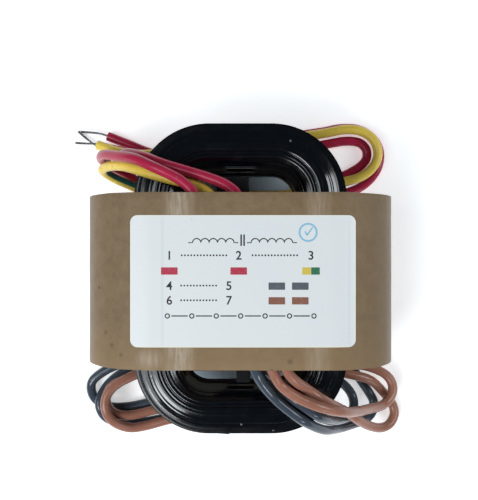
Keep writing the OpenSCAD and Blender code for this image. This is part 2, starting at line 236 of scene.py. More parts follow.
def vector_maths(tree, operation, a, b=(0, 0, 0)):
    return shader_node(tree, "VectorMath", {0: a, 1: b}, operation=operation)


def ramp(tree, value, low, high, to_low=0.0, to_high=1.0):
    """Clamped straight ramp from one range of values to another."""
    feeds = {"Value": value, "From Min": low, "From Max": high, "To Min": to_low, "To Max": to_high}
    return shader_node(tree, "MapRange", feeds).outputs["Result"]


def tint(tree, mask, under, over):
    """Lays a colour over another where the mask is 1."""
    under, over = (c if isinstance(c, bpy.types.NodeSocket) else (*c, 1) for c in (under, over))
    return shader_node(tree, "Mix", {0: mask, 6: under, 7: over}, data_type="RGBA").outputs[2]


def place(tree):
    """The point on the piece, in metres in the object's own frame."""
    return shader_node(tree, "TexCoord").outputs["Object"]


def grain(tree, vector, scale, detail=3.0, roughness=0.55):
    """Cloudy noise between 0 and 1."""
    feeds = {"Vector": vector, "Scale": scale, "Detail": detail, "Roughness": roughness}
    return shader_node(tree, "TexNoise", feeds).outputs["Fac"]


def new_group(name, inputs):
    """An empty shader node group, the values it is given and the mask it results in."""
    tree = bpy.data.node_groups.new(name, "ShaderNodeTree")
    for socket_name, kind, value in inputs:
        kind = "NodeSocket" + kind
        socket = tree.interface.new_socket(socket_name, in_out="INPUT", socket_type=kind)
        socket.default_value = value
    tree.interface.new_socket("Mask", in_out="OUTPUT", socket_type="NodeSocketFloat")
    given = tree.nodes.new("NodeGroupInput").outputs
    return tree, given, tree.nodes.new("NodeGroupOutput").inputs["Mask"]


# Soft spot: a mask that is 1 at a centre and fades to 0 at its reach along each axis
spot_group, given, mask = new_group(
    "soft_spot",
    [("Centre", "Vector", (0, 0, 0)), ("Reach", "Vector", (1, 1, 1)), ("Core", "Float", 0.5)],
)
away = vector_maths(spot_group, "SUBTRACT", place(spot_group), given["Centre"]).outputs[0]
scaled = vector_maths(spot_group, "DIVIDE", away, given["Reach"]).outputs[0]
distance = vector_maths(spot_group, "LENGTH", scaled).outputs["Value"]
spot_group.links.new(ramp(spot_group, distance, 1.0, given["Core"]), mask)

# Specks: scattered dots of dust or dirt, with a share of the cells left empty
speck_group, given, mask = new_group(
    "specks",
    [("Scale", "Float", 400.0), ("Radius", "Float", 0.2), ("Share", "Float", 0.2)],
)
feeds = {"Vector": place(speck_group), "Scale": given["Scale"]}
cells = shader_node(speck_group, "TexVoronoi", feeds)
dot = maths(speck_group, "LESS_THAN", cells.outputs["Distance"], given["Radius"])
pick = shader_node(speck_group, "SeparateColor", {0: cells.outputs["Color"]}).outputs[0]
kept = maths(speck_group, "LESS_THAN", pick, given["Share"])
speck_group.links.new(times(speck_group, dot, kept), mask)


def effect(tree, group, **feeds):
    """Places a shared effect in a material with its own values."""
    return shader_node(tree, "Group", feeds, node_tree=group).outputs["Mask"]


def spot_mask(tree, centre_mm, reach_mm, core):
    """A soft spot on the piece, with its place and reach in millimetres."""
    centre, reach = (tuple(c * MM for c in mm) for mm in (centre_mm, reach_mm))
    return effect(tree, spot_group, Centre=centre, Reach=reach, Core=core)


def strongest_spot(tree, spots):
    """The strongest of soft spots, each with its place, reach, core and strength."""
    strongest = 0.0
    for centre_mm, reach_mm, core, strength in spots:
        mask = times(tree, spot_mask(tree, centre_mm, reach_mm, core), strength)
        strongest = maths(tree, "MAXIMUM", strongest, mask)
    return strongest


def new_material(name, **values):
    """A material, its node tree and its shader, with plain values set on the shader itself."""
    material = bpy.data.materials.new(name)
    material.use_nodes = True
    tree = material.node_tree
    shader = tree.nodes["Principled BSDF"]
    for socket, value in values.items():
        shader.inputs[socket.replace("_", " ")].default_value = value
    return material, tree, shader


def feed(shader, socket, value):
    """Links the output of a node to a socket of the shader."""
    shader.id_data.links.new(value, shader.inputs[socket])


def bump(shader, height, strength, distance_m):
    """Fine relief in the shading, from a height between 0 and 1."""
    feeds = {"Height": height, "Strength": strength, "Distance": distance_m}
    feed(shader, "Normal", shader_node(shader.id_data, "Bump", feeds).outputs["Normal"])


VARNISH_BLACK = (0.0016, 0.002, 0.0036)
VARNISH_WORN = (0.004, 0.005, 0.0075)
DUST_GREY = (0.16, 0.17, 0.18)
DRIP_SCALE = 320
STRIP_LINE_SCALE = 2300
LINE_WANDER = 0.5 * MM
RIM_FROM, RIM_TO = 13.6 * MM, 15.2 * MM
RIM_DULLNESS = 0.08
# Where the varnish dried wrinkled: place, reach, core and strength
WRINKLED_SPOTS = (
    ((20, -22.5, 20), (7, 6, 6), 0.3, 1.0),
    ((-21, -24, 20), (5, 6, 6), 0.2, 0.3),
)
WRINKLE_HEIGHT = 9.0
varnished_steel, tree, shader = new_material("varnished_steel", IOR=1.65)
spot_on_core = place(tree)
axes = shader_node(tree, "SeparateXYZ", {0: spot_on_core})
squares = []
for axis, turn in zip(axes.outputs, (turn_x, turn_y)):
    past_turn = maths(tree, "SUBTRACT", maths(tree, "ABSOLUTE", axis), turn)
    past_turn = maths(tree, "MAXIMUM", past_turn)
    squares.append(times(tree, past_turn, past_turn))
through_build = maths(tree, "SQRT", maths(tree, "ADD", *squares))
drips = grain(tree, spot_on_core, DRIP_SCALE, 4)
wander = times(tree, grain(tree, spot_on_core, 90, 2), LINE_WANDER)
strip_lines = shader_node(
    tree,
    "TexNoise",
    {"W": maths(tree, "ADD", through_build, wander), "Scale": STRIP_LINE_SCALE, "Detail": 2.0},
    noise_dimensions="1D",
).outputs["Fac"]
worn_lines = times(tree, ramp(tree, strip_lines, 0.52, 0.66), ramp(tree, drips, 0.35, 0.6))
colour = tint(tree, worn_lines, VARNISH_BLACK, VARNISH_WORN)
dust = effect(tree, speck_group, Scale=560, Radius=0.15, Share=0.16)
colour = tint(tree, dust, colour, DUST_GREY)
feed(shader, "Base Color", colour)
rim_dull = ramp(tree, through_build, RIM_FROM, RIM_TO, 0, RIM_DULLNESS)
gloss = ramp(tree, drips, 0.3, 0.7, 0.08, 0.17)
feed(shader, "Roughness", maths(tree, "ADD", gloss, rim_dull))
ripple = maths(tree, "ADD", times(tree, strip_lines, 0.6), drips)
wrinkled = times(tree, strongest_spot(tree, WRINKLED_SPOTS), WRINKLE_HEIGHT)
wrinkles = times(tree, grain(tree, spot_on_core, 700, 4, 0.7), wrinkled)
bump(shader, maths(tree, "ADD", ripple, wrinkles), 0.12, 0.1 * MM)
wound_core.data.materials.append(varnished_steel)
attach(wound_core, "root")
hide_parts("core")

# Bobbins. Each is two half shells of moulded nylon, closed round a core leg, with toothed
# flanges that the winding machine drives to turn the bobbin on the core.
NYLON_PALE = (0.56, 0.52, 0.43)
NYLON_SHADE = (0.45, 0.41, 0.33)


def dress_nodes(material, *names):
    """Gives a material to solids that are shown as they were made."""
    for name in names:
        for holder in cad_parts[name].material_slots:
            holder.material = material


bobbin_nylon, tree, shader = new_material("bobbin_nylon", Roughness=0.42, Subsurface_Weight=0.08)
shader.inputs["Subsurface Radius"].default_value = (0.8 * MM, 0.6 * MM, 0.4 * MM)
cloud = grain(tree, place(tree), 220, 4)
feed(shader, "Base Color", tint(tree, ramp(tree, cloud, 0.35, 0.65), NYLON_PALE, NYLON_SHADE))
bump(shader, grain(tree, place(tree), 2600, 2), 0.15, 0.05 * MM)
for side in ("left", "right"):
    dress_nodes(bobbin_nylon, f"bobbin_{side}_front", f"bobbin_{side}_rear")

# Windings. Enamelled copper wire laid in tight layers on each bobbin, the primary below and
# the secondary above, with polyester film and an open copper foil screen between them, and
# a finishing turn of yellow tape.
WIRE_PITCH_PRIMARY = 0.28 * MM
WIRE_PITCH_SECONDARY = 0.55 * MM
ENAMEL_COPPER = (0.42, 0.13, 0.045)
# Painted shade for the grooves between enamelled turns
ENAMEL_GROOVE_SHADE = (0.14, 0.035, 0.015)
FILM_AMBER = (0.60, 0.48, 0.22)
FILM_CLEAR = (0.72, 0.63, 0.38)
FOIL_COPPER = (0.80, 0.42, 0.26)
FOIL_TARNISH = (0.48, 0.22, 0.13)
TAPE_YELLOW = (0.62, 0.41, 0.06)
TAPE_SHADE = (0.48, 0.30, 0.04)


def enamelled_wire(name, pitch):
    """Round wires side by side, which run round the leg and repeat along it."""
    material, tree, shader = new_material(name, Roughness=0.3, Coat_Weight=0.4)
    along = shader_node(tree, "SeparateXYZ", {0: place(tree)}).outputs[1]
    turn = maths(tree, "FRACT", maths(tree, "DIVIDE", along, pitch))
    bulge = maths(tree, "SINE", times(tree, turn, math.pi))
    # Painted shade: the enamel is darkened in the grooves between neighbouring turns
    colour = tint(tree, ramp(tree, bulge, 0.1, 0.6), ENAMEL_GROOVE_SHADE, ENAMEL_COPPER)
    feed(shader, "Base Color", colour)
    bump(shader, bulge, 1.0, pitch / 2)
    return material


def wound_sheet(name, pale, dark, scale, **values):
    """Film, foil or tape: smooth sheet with faint clouding and wrinkles."""
    material, tree, shader = new_material(name, **values)
    cloud = grain(tree, place(tree), scale, 4)
    feed(shader, "Base Color", tint(tree, ramp(tree, cloud, 0.35, 0.65), pale, dark))
    bump(shader, cloud, 0.3, 0.1 * MM)
    return material


primary_wire = enamelled_wire("primary_wire", WIRE_PITCH_PRIMARY)
secondary_wire = enamelled_wire("secondary_wire", WIRE_PITCH_SECONDARY)
polyester_film = wound_sheet("polyester_film", FILM_CLEAR, FILM_AMBER, 180, Roughness=0.25)
copper_foil = wound_sheet("copper_foil", FOIL_COPPER, FOIL_TARNISH, 260, Roughness=0.3, Metallic=1)
coil_tape = wound_sheet("coil_tape", TAPE_YELLOW, TAPE_SHADE, 300, Roughness=0.35)
for side in ("left", "right"):
    dress_nodes(primary_wire, "primary_winding_" + side)
    dress_nodes(secondary_wire, "secondary_winding_" + side)
    dress_nodes(polyester_film, "primary_film_" + side, "screen_film_" + side)
    dress_nodes(copper_foil, "screen_foil_" + side)
    dress_nodes(coil_tape, "coil_tape_" + side)

# Splice wraps. The winding ends are soldered to the leads in the hollow between the coils,
# and each row of joints is bound in black cloth tape, pressed down and lapped on itself.
CLOTH_BLACK = (0.004, 0.004, 0.005)
CLOTH_GREY = (0.009, 0.009, 0.011)
WEAVE_SCALE = 900
WRAP_VOXEL = 0.3 * MM
WRAP_SMOOTHING = 8
WRAP_DENT = 0.12 * MM
WRAP_DENT_PITCH = 2.2 * MM
WRAP_SINK = 0.6
cloth_tape, tree, shader = new_material("cloth_tape", Roughness=0.8, Specular_IOR_Level=0.25)
threads = {"Vector": place(tree), "Scale": WEAVE_SCALE}
warp, weft = (shader_node(tree, "TexWave", threads, bands_direction=d).outputs["Fac"] for d in "XY")
weave = times(tree, warp, weft)
feed(shader, "Base Color", tint(tree, weave, CLOTH_BLACK, CLOTH_GREY))
bump(shader, weave, 0.5, 0.08 * MM)


def softened_copy(node_name, piece_name):
    """A tape wrap in the space of its solid, with round corners and shallow dents."""
    start_piece()
    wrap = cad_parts[node_name].copy()
    wrap.data = wrap.data.copy()
    for key in list(wrap.keys()):
        del wrap[key]
    wrap.name = piece_name
    wrap.parent = None
    bpy.context.scene.collection.objects.link(wrap)
    take_up(wrap)
    select_in_edit(wrap, "FACE", lambda face: True)
    bpy.ops.mesh.remove_doubles(threshold=0.001 * MM)
    bpy.ops.mesh.dissolve_limited(angle_limit=math.radians(4))
    leave_edit()
    remesh = wrap.modifiers.new("remesh", "REMESH")
    remesh.mode = "VOXEL"
    remesh.voxel_size = WRAP_VOXEL
    soften = wrap.modifiers.new("soften", "SMOOTH")
    soften.iterations = WRAP_SMOOTHING
    for modifier in (remesh.name, soften.name):
        bpy.ops.object.modifier_apply(modifier=modifier)
    for vertex in wrap.data.vertices:
        dent = noise.noise(vertex.co / WRAP_DENT_PITCH) - WRAP_SINK
        vertex.co += vertex.normal * WRAP_DENT * dent
    bpy.ops.object.shade_smooth()
    wrap.data.materials.clear()
    wrap.data.materials.append(cloth_tape)
    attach(wrap, "root")
    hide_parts(node_name)


softened_copy("input_splice_wrap", "input_tape_wrap")
softened_copy("output_splice_wrap", "output_tape_wrap")

# Leads. Hook-up wire in soft PVC: two red ones and a yellow one with a green stripe at the
# input end, two grey and two brown ones at the output end. Each leaves its tape wrap, drops
# over the core's shoulder, runs back under the yoke and ends stripped and tinned.
LEAD_RADIUS = 1.15 * MM
LEAD_SIDES_HALF = 7
STEPS_PER_SPAN = 7
LEAD_SHARP_DEG = 50
# Stops of each lead in millimetres. A stop without a height lies on the table.
LAID_HEIGHT_MM = 1.3
RED_ROUTE_A = [
    (-0.4, 14, 29.3), (-0.4, 16.5, 29.3), (-1.2, 18.6, 28.9), (-3.6, 20.4, 27.7),
    (-7.2, 21.9, 26.4), (-11.5, 23.3, 25.2), (-16.5, 24.9, 24), (-21.5, 26.9, 21.6),
    (-25.8, 28.2, 17.2), (-28.2, 27.9, 11.6), (-28.3, 27.1, 6.6), (-25.4, 26.7, 2.7),
    (-20, 26.9, 1.4), (-12, 26.9), (0, 27.1), (10, 26.7), (16.5, 24.9), (21, 23.9), (25, 24.6),
    (27.8, 25.9), (29.9, 27.3), (31.2, 29), (31.2, 31.1), (29.9, 32.7), (27.9, 33.3), (25.4, 33.3),
    (22.4, 32.8), (12, 31), (0, 30.4), (-10, 29.8), (-17, 29.5), (-22.4, 30.5), (-27.5, 32.5),
    (-32.8, 34.6),
]
RED_ROUTE_B = [
    (-9.3, 14, 29.7), (-9.3, 16.5, 29.7), (-10.4, 19, 29.5), (-12.6, 21, 28.7), (-15.6, 22.7, 27.4),
    (-19, 24.3, 26.1), (-23, 26.2, 23.8), (-27.6, 27.3, 19.6), (-31.4, 28.2, 14.6),
    (-32.8, 27.8, 9), (-31, 26.6, 4.6), (-27.6, 24.8, 2), (-24, 22.4), (-19, 20.2), (-10, 19.7),
    (2, 19.7), (14, 19.7), (22.5, 19.8), (28.6, 21.4), (32.2, 24), (34.2, 27.4), (34.4, 31),
    (32.6, 34.2), (29.2, 36.2), (25, 36.5), (20, 35.6), (10, 34.2), (1, 33.4, 2.2), (-8, 32, 3.8),
    (-16, 30.2, 3.9), (-22, 29.4, 3.9), (-27, 30.1, 3.8), (-30.4, 30.9, 2.8), (-34, 31.7, 1.6),
]
SCREEN_ROUTE = [
    (-5.6, 14, 27.2), (-5.6, 16.4, 27.2), (-6.8, 18.5, 26.4), (-9.2, 20, 25.3), (-12.4, 21, 24.4),
    (-16, 21.9, 24), (-20.8, 23.4, 22.3), (-25.8, 25.1, 18.5), (-30, 25.7, 14), (-32.5, 25.3, 9.4),
    (-31, 24, 5.6), (-27.4, 22.4, 4.1), (-23.4, 20.9, 3.8), (-18, 20, 3.8), (-10, 19.7, 3.8),
    (2, 19.7, 3.8), (12, 20, 3.8), (20, 22, 3.8), (26, 23.2, 3.8), (30, 24.6, 3.8),
    (32.7, 27.1, 3.8), (33.6, 30.2, 3.8), (32.4, 33.4, 3.8), (29.4, 35.4, 3.8), (25.4, 35.8, 3.8),
    (20, 34.8, 3.8), (10, 33.4, 4.2), (1, 32.6, 5.2), (-8, 31.6, 6.3), (-16, 30, 6.4),
    (-22, 29.4, 6.4), (-27, 29.6, 6.2), (-31, 30.6, 5.3), (-34.7, 32, 4.1),
]
GREY_ROUTE_A = [
    (2.6, -14, 29.4), (2.6, -16.5, 29.4), (3.2, -19.2, 28.8), (4.8, -22.2, 27), (7.2, -25.2, 25.2),
    (10.2, -28, 24.2), (14.2, -31.1, 22.4), (18.8, -34.2, 16.7), (23.2, -35.8, 9.2),
    (27.8, -36, 3.8), (30.6, -35.5, 2.2), (32.6, -33.7, 1.5), (33, -31.2), (31.7, -28.6),
    (29.6, -25.6), (27.2, -22.2), (23.6, -20.2), (20, -19.6), (16, -19.6), (4, -19.6), (-8, -19.6),
    (-18, -19.8), (-24.6, -21.4), (-29.4, -24, 1.4), (-33, -27.2, 2.3), (-34.4, -31, 3.9),
    (-33, -34.6, 3), (-29, -36.4, 1.5), (-24, -36.2), (-16, -34.8), (-8, -34.4),
]
GREY_ROUTE_B = [
    (3.8, -14, 26.9), (3.8, -16.5, 26.9), (4.8, -19.2, 26.2), (7, -21.8, 24.6), (9.8, -24.6, 23.6),
    (13.3, -27.1, 23.8), (17.3, -30.1, 21.9), (21.1, -32.4, 15.3), (23.9, -33.4, 10.2),
    (25.9, -33.2, 7.5), (27.2, -32.3, 5.5), (27.6, -30.4, 4.1), (26.8, -28.2, 3.4),
    (24.9, -26.3, 2.6), (22, -25.2, 1.7), (18, -25.4), (13, -26.9), (8, -28), (-4, -28),
    (-14, -29.4), (-22, -31.2), (-28, -32.4), (-33, -32.2, 1.4), (-36.2, -29.8, 1.8),
    (-36.4, -26, 3), (-33.2, -23.2, 3.5), (-28.6, -21, 3.7),
]
BROWN_ROUTE_A = [
    (6.1, -14, 29.4), (6.1, -16.5, 29.4), (6.8, -19.2, 28.9), (8.4, -22, 27.6), (10.8, -24, 27.4),
    (13.8, -25.7, 26.9), (17.6, -27.2, 26.1), (22.2, -28.7, 23.2), (26.2, -30, 17.2),
    (30.2, -30.8, 10.8), (33.9, -31, 6.6), (36.4, -29.3, 4.9), (37.1, -26.8, 4.2),
    (35.9, -24.4, 3.9), (33, -22.7, 3.9), (28.6, -21.6, 4), (23.6, -22.4, 3.1), (17.6, -22.2, 1.4),
    (8, -22), (-4, -22), (-14, -22), (-20.6, -22.7, 1.7), (-25, -23.9, 3), (-28.3, -25.3, 4.3),
    (-30.7, -26.2, 5), (-32, -27.8, 5.4), (-32.5, -29.8, 5.5), (-31.9, -31.8, 5.2),
    (-30.4, -33.3, 4.7), (-28.1, -33.9, 4.2), (-25, -33.7, 3.6), (-20.5, -32.7, 2.9),
    (-14, -32.2, 1.6), (-6, -31.8),
]
BROWN_ROUTE_B = [
    (9, -14, 29.6), (9, -16.5, 29.6), (9.8, -19, 29.1), (11.6, -21.2, 27.8), (14.4, -23.5, 25.3),
    (17.8, -26, 23.8), (21.3, -28.4, 20), (24.2, -30.8, 13.6), (27.2, -33.2, 10.5),
    (30.6, -35.6, 7.1), (34, -36.9, 4.3), (36.6, -36.4, 2.6), (38, -34.3, 1.7), (37.6, -31.8, 1.5),
    (35.2, -28.6, 2.2), (31.8, -25.4, 4), (27.4, -23.9, 5.2), (22.4, -22.9, 5.5), (16, -22.1, 3.8),
    (6, -22, 3.8), (-6, -22, 3.8), (-16, -22.1, 3.8), (-22.4, -23, 4.7), (-25.2, -23.7, 5.9),
    (-27.8, -24.7, 7), (-30.2, -26.2, 7.6), (-31.8, -28.2, 7.9), (-32.3, -30.6, 7.9),
    (-31.7, -33.2, 7.4), (-29.8, -35.4, 6.2), (-26.8, -36.8, 4.6), (-23, -36.5, 3.8),
    (-17, -34.9, 3.8), (-10, -33.6, 3.8),
]


def smooth_line(stops):
    """A smooth curve through stops in millimetres, as close points in metres."""
    stops = [Vector(stop) * MM for stop in stops]
    ends = [2 * stops[0] - stops[1], *stops, 2 * stops[-1] - stops[-2]]
    line = []
    for a, b, c, d in zip(ends, ends[1:], ends[2:], ends[3:]):
        for step in range(STEPS_PER_SPAN):
            t = step / STEPS_PER_SPAN
            spot = 2 * b + (c - a) * t
            spot += (2 * a - 5 * b + 4 * c - d) * t**2
            spot += (3 * b - a - 3 * c + d) * t**3
            line.append(spot / 2)
    return line + [stops[-1]]


def line_length(line):
    return sum((b - a).length for a, b in zip(line, line[1:]))


def sides_of(line):
    """The heading at each point, and a direction across it that turns as little as it can."""
    headings = [(b - a).normalized() for a, b in zip(line, line[1:])]
    headings.append(headings[-1])
    across, turned = Vector((0, 0, 1)), []
    for heading in headings:
        across = (across - across.dot(heading) * heading).normalized()
        turned.append(across)
    return headings, turned


def round_wire(name, lines, radius, sides_half):
    """A mesh of round wires, one along each line."""
    start_piece()
    curve = bpy.data.curves.new(name, "CURVE")
    curve.dimensions = "3D"
    curve.bevel_depth = radius
    curve.bevel_resolution = sides_half - 2
    curve.use_fill_caps = True
    for line in lines:
        spline = curve.splines.new("POLY")
        spline.points.add(len(line) - 1)
        for point, spot in zip(spline.points, line):
            point.co = (*spot, 1)
    wire = bpy.data.objects.new(name, curve)
    bpy.context.scene.collection.objects.link(wire)
    take_up(wire)
    bpy.ops.object.convert(target="MESH")
    return bpy.context.object


STRIPE_SIDE = "stripe_side"
STRIPE_EDGE = (0.46, 0.52)


def smooth_wire(name, lines, radius, sides_half, sharp_deg):
    """Closed round wires with flat ends, shaded smooth."""
    wire = round_wire(name, lines, radius, sides_half)
    close_up_mesh()
    smooth_by_angle(wire, sharp_deg)
    return wire


def mark_stripe(lead, line, stripe_turns):
    """Keeps, at each point of the lead, how far it faces the stripe's side."""
    headings, across = sides_of(line)
    first_turn, last_turn, twist_from, twist_to = stripe_turns
    finder = KDTree(len(line))
    for index, spot in enumerate(line):
        finder.insert(spot, index)
    finder.balance()
    facing = lead.data.attributes.new(STRIPE_SIDE, "FLOAT", "POINT")
    for vertex in lead.data.vertices:
        spot, near, _ = finder.find(vertex.co)
        beside = headings[near].cross(across[near])
        twist = clamped((near / len(line) - twist_from) / (twist_to - twist_from))
        turn = first_turn + twist * (last_turn - first_turn)
        side = math.cos(turn) * across[near] + math.sin(turn) * beside
        facing.data[vertex.index].value = (vertex.co - spot).normalized().dot(side)


def soft_pvc(name, shades, roughness, stripe=None):
    """Extruded PVC: faint clouding, a few handling marks, and a stripe where one is given."""
    material, tree, shader = new_material(name, Specular_IOR_Level=0.4)
    cloud = grain(tree, place(tree), 260, 3)
    colour = tint(tree, ramp(tree, cloud, 0.3, 0.7), *shades)
    if stripe:
        side = shader_node(tree, "Attribute", attribute_name=STRIPE_SIDE).outputs["Fac"]
        colour = tint(tree, ramp(tree, side, *STRIPE_EDGE), colour, stripe)
    dust = effect(tree, speck_group, Scale=900, Radius=0.2, Share=0.04)
    colour = tint(tree, times(tree, dust, 0.5), colour, DUST_GREY)
    feed(shader, "Base Color", colour)
    scuff = grain(tree, place(tree), 700, 3)
    handled = ramp(tree, scuff, 0.3, 0.75, roughness - 0.02, roughness + 0.03)
    feed(shader, "Roughness", handled)
    bump(shader, scuff, 0.03, 0.05 * MM)
    return material


# Each colour has a plain shade and a deeper one
PVC_RED = ((0.52, 0.024, 0.078), (0.42, 0.017, 0.057))
PVC_YELLOW = ((0.95, 0.70, 0.115), (0.87, 0.61, 0.09))
PVC_GREEN = (0.02, 0.12, 0.09)
PVC_GREY = ((0.064, 0.08, 0.105), (0.052, 0.066, 0.087))
PVC_BROWN = ((0.385, 0.169, 0.115), (0.32, 0.137, 0.092))
red_pvc = soft_pvc("red_pvc", PVC_RED, 0.24)
yellow_green_pvc = soft_pvc("yellow_green_pvc", PVC_YELLOW, 0.28, PVC_GREEN)
grey_pvc = soft_pvc("grey_pvc", PVC_GREY, 0.1)
brown_pvc = soft_pvc("brown_pvc", PVC_BROWN, 0.24)

# Stripped ends. Seven tinned copper strands, twisted and bare for a few millimetres past the
# insulation. They are bent by handling at the input end and tucked under the core at the other.
STRAND_RADIUS = 0.085 * MM
STRAND_RING = 0.165 * MM
STRAND_TWIST = 5 * MM
STRAND_SPREAD = 0.5
STRAND_SIDES_HALF = 3
STRAND_SHARP_DEG = 70
RING_STRANDS = 6
HIDDEN_TAIL_MM = 6
TIN_BRIGHT = (0.30, 0.30, 0.31)
TIN_DULL = (0.10, 0.10, 0.105)
tinned_copper, tree, shader = new_material("tinned_copper", Metallic=0.85, Roughness=0.42)
dull = grain(tree, place(tree), 1500, 3)
feed(shader, "Base Color", tint(tree, ramp(tree, dull, 0.35, 0.65), TIN_BRIGHT, TIN_DULL))


def strands(line):
    """Lines of the strands: one in the middle and six round it, splayed a little at the end."""
    headings, across = sides_of(line)
    wound = [list(line)]
    whole = line_length(line)
    for strand in range(RING_STRANDS):
        run, turns = 0.0, []
        for i, spot in enumerate(line):
            run += (spot - line[i - 1]).length if i else 0.0
            angle = 2 * math.pi * (strand / RING_STRANDS + run / STRAND_TWIST)
            beside = headings[i].cross(across[i])
            ring = STRAND_RING * (1 + STRAND_SPREAD * (run / whole) ** 3)
            turns.append(spot + ring * (math.cos(angle) * across[i] + math.sin(angle) * beside))
        wound.append(turns)
    return wound


def lay_lead(name, route, material, tail_stops=None, stripe_turns=None):
    """One lead with its stripped end, in place of their two solids."""
    stops = [Vector((*stop, LAID_HEIGHT_MM)[:3]) for stop in route]
    line = smooth_line(stops)
    lead = smooth_wire(name + "_wire", [line], LEAD_RADIUS, LEAD_SIDES_HALF, LEAD_SHARP_DEG)
    if stripe_turns:
        mark_stripe(lead, line, stripe_turns)
    lead.data.materials.append(material)
    last = stops[-1]
    ahead = (last - stops[-2]).normalized()
    tail_line = smooth_line([last, last + ahead, *(tail_stops or [last + HIDDEN_TAIL_MM * ahead])])
    tail = smooth_wire(
        name + "_strands", strands(tail_line), STRAND_RADIUS, STRAND_SIDES_HALF, STRAND_SHARP_DEG
    )
    tail.data.materials.append(tinned_copper)
    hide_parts(name)
    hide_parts(name.replace("lead", "tail"))
    for piece in (lead, tail):
        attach(piece, "root")


RED_TAIL_A = [(-35.8, 35.4, 1.3), (-39.4, 35.6, 1.7)]
RED_TAIL_B = [(-36.4, 32.7, 1), (-38.6, 34.4, 0.8), (-40.3, 35.9, 0.6)]
SCREEN_TAIL = [(-38, 32.5, 3.2), (-40.6, 32.8, 2.2)]
# The stripe's turn at its start and end, and the shares of the length where it twists
STRIPE_TURNS = (math.radians(135), math.radians(330), 0.38, 0.56)
lay_lead("red_lead_a", RED_ROUTE_A, red_pvc, RED_TAIL_A)
lay_lead("red_lead_b", RED_ROUTE_B, red_pvc, RED_TAIL_B)
lay_lead(
    "screen_lead", SCREEN_ROUTE, yellow_green_pvc, SCREEN_TAIL, STRIPE_TURNS
)
lay_lead("grey_lead_a", GREY_ROUTE_A, grey_pvc)
lay_lead("grey_lead_b", GREY_ROUTE_B, grey_pvc)
lay_lead("brown_lead_a", BROWN_ROUTE_A, brown_pvc)
lay_lead("brown_lead_b", BROWN_ROUTE_B, brown_pvc)

# Board band. One strip of brown kraft board, wrapped round both coils and glued at a lap on
# the right-hand end, near the table. Its face is stained and spotted, paler and yellower towards
# its lower edge, with painted sheen stripes, painted shade towards the right-hand end and a
# painted grey highlight on both round ends.
BAND_RADIUS = 15.9 * MM
BAND_WIDTH = 36.6 * MM
BOARD_T = 0.8 * MM
LAP_T = 0.3 * MM
LAP_STEP_DEG, LAP_FADE_DEG = -45.0, -80.0
LAP_RISE_DEG = 30
LAP_CUT_DEG = 0.3
LAP_CLEAR_DEG = 0.5
LAP_SNAP_DEG = 2.5
BAND_ARC_STEPS = 48
FRONT_CUTS, FRONT_CUT_STEP = 11, 1.5 * MM
WIDTH_CUTS, WIDTH_CUT_STEP = 5, 3.3 * MM
BOARD_WAVE = 0.05 * MM
BOARD_WAVE_LENGTH = 9 * MM
EDGE_WAVE = 0.07 * MM
EDGE_WAVE_LENGTH = 5 * MM
EDGE_REACH = 0.1 * MM
CUT_EDGE_EASE = 0.14 * MM
SHEET_SHARP_DEG = 40
start_piece()
bpy.ops.mesh.primitive_cube_add(
    size=1,
    location=(0, 0, MID_HEIGHT),
    scale=(2 * (LEG_X + BAND_RADIUS), BAND_WIDTH, 2 * BAND_RADIUS),
)
bpy.ops.object.transform_apply()
kraft_band = bpy.context.object
kraft_band.name = "kraft_band"
select_in_edit(kraft_band, "FACE", lambda face: abs(face.normal.y) > 0.9)
bpy.ops.mesh.delete(type="ONLY_FACE")
leave_edit()


def cut_through(spot, across):
    """Adds a cut all round the piece in edit mode, at a spot and square to a direction."""
    bpy.ops.mesh.select_all(action="SELECT")
    bpy.ops.mesh.bisect(plane_co=spot, plane_no=across)


def runs_along_band(edge):
    a, b = (kraft_band.data.vertices[i].co for i in edge.vertices)
    return abs(a.y - b.y) > BAND_WIDTH / 2


select_in_edit(kraft_band, "EDGE", runs_along_band)
bpy.ops.mesh.bevel(offset=BAND_RADIUS, segments=BAND_ARC_STEPS, affect="EDGES", clamp_overlap=False)
close_up_mesh()
bpy.ops.object.mode_set(mode="EDIT")
for step in range(-FRONT_CUTS, FRONT_CUTS + 1):
    cut_through((step * FRONT_CUT_STEP, 0, 0), (1, 0, 0))
for step in range(-WIDTH_CUTS, WIDTH_CUTS + 1):
    cut_through((0, step * WIDTH_CUT_STEP, 0), (0, 1, 0))
close_up_mesh()


def settle_board(spot):
    """Where a point of the board ends up: raised at the lap, never quite flat or straight."""
    right_end = spot.x > LEG_X
    turn = math.degrees(math.atan2(spot.z - MID_HEIGHT, spot.x - LEG_X))
    lift = BOARD_WAVE * noise.noise(spot / BOARD_WAVE_LENGTH)
    if right_end and LAP_FADE_DEG < turn < LAP_STEP_DEG - LAP_CLEAR_DEG:
        lift += LAP_T * min(1, (turn - LAP_FADE_DEG) / LAP_RISE_DEG)
        if turn > LAP_STEP_DEG - LAP_SNAP_DEG:
            turn = LAP_STEP_DEG - LAP_CUT_DEG
    if abs(spot.x) > LEG_X:
        centre = Vector((math.copysign(LEG_X, spot.x), spot.y, MID_HEIGHT))
        reach = (spot - centre).length + lift
        side = turn if right_end else math.degrees(math.atan2(spot.z - MID_HEIGHT, spot.x + LEG_X))
        turned = math.radians(side)
        spot = centre + reach * Vector((math.cos(turned), 0, math.sin(turned)))
    elif spot.z > MID_HEIGHT:
        spot = spot + Vector((0, 0, min(lift, 0)))
    if abs(spot.y) > BAND_WIDTH / 2 - EDGE_REACH:
        wave = noise.noise(spot / EDGE_WAVE_LENGTH + Vector((7, 3, 1)))
        spot = spot + Vector((0, EDGE_WAVE * wave, 0))
    return spot


